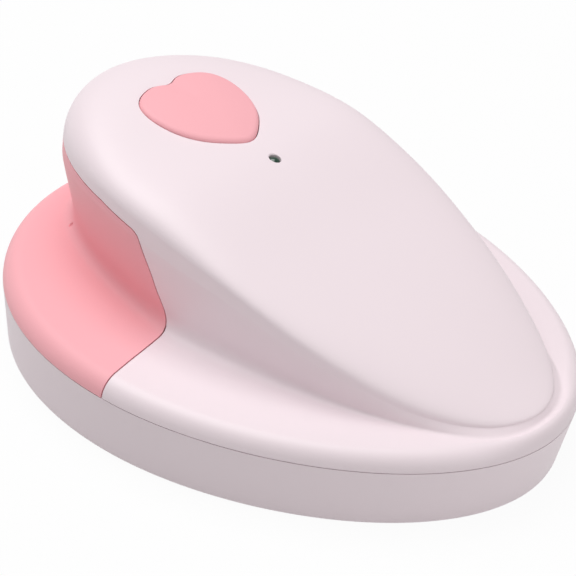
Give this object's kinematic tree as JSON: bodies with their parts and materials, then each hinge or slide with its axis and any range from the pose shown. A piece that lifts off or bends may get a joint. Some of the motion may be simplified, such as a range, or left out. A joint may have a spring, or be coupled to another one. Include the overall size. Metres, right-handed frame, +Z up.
{
  "type": "fetal doppler monitor",
  "caption": "Palm-held fetal doppler: egg-shaped base with a flat sole, overhanging pod with a heart-shaped power button, rear finger grip, headphone sockets and battery door.",
  "frame": {"origin": "middle of the sole's box, on the surface the monitor stands on", "axes": "+Y from the narrow nose to the blunt rear, +Z up, X across"},
  "size_m": [0.1044, 0.12, 0.0473],
  "materials": {
    "white_plastic": "satin",
    "pink_plastic": "satin",
    "window_plastic": "satin",
    "led_lens": "gloss",
    "board_laminate": "satin",
    "black_plastic": "matte",
    "capacitor_sleeve": "gloss",
    "steel": "satin",
    "plunger_plastic": "matte",
    "crystal_ceramic": "matte",
    "backing_foam": "matte",
    "cup_plastic": "matte",
    "cable_jacket": "matte",
    "seal_rubber": "matte",
    "battery_case": "satin",
    "lead_jacket": "matte",
    "foam": "matte"
  },
  "bodies": {
    "root": {"lower_shell": "white_plastic", "upper_shell": "white_plastic", "rear_grip_panel": "pink_plastic", "status_led": "led_lens", "main_board": "board_laminate", "board_chips": "black_plastic", "board_capacitors": "capacitor_sleeve", "clock_crystal": "steel", "board_screws": "steel", "switch_body": "black_plastic", "headphone_jack_left": "black_plastic", "headphone_jack_right": "black_plastic", "transducer_window": "window_plastic", "window_seal": "seal_rubber", "transmit_crystal": "crystal_ceramic", "receive_crystal": "crystal_ceramic", "transducer_backing": "backing_foam", "transducer_cup": "cup_plastic", "transducer_cable": "cable_jacket", "battery_9v": "battery_case", "battery_terminals": "steel", "battery_snap": "black_plastic", "battery_leads": "lead_jacket", "housing_screws": "steel"},
    "button": {"heart_button": "pink_plastic"},
    "plunger": {"switch_plunger": "plunger_plastic"},
    "door": {"battery_door": "white_plastic", "door_foam": "foam"}
  },
  "joints": [
    {"name": "heart_press", "type": "slide", "parent": "root", "child": "button", "axis": [0, 0.1636, -0.9865], "range_m": [0, 0.0005], "stiffness_N_per_m": 400, "springref_m": -0.001},
    {"name": "plunger_press", "type": "slide", "parent": "root", "child": "plunger", "axis": [0, 0.1636, -0.9865], "range_m": [0, 0.0005]},
    {"name": "door_hinge", "type": "hinge", "parent": "root", "child": "door", "pos_m": [0, 0.0368, 0.00105], "axis": [1, 0, 0], "range_deg": [0, 75]}
  ],
  "couplings": [
    {"joint": "plunger_press", "follows": "heart_press", "ratio": 1}
  ]
}
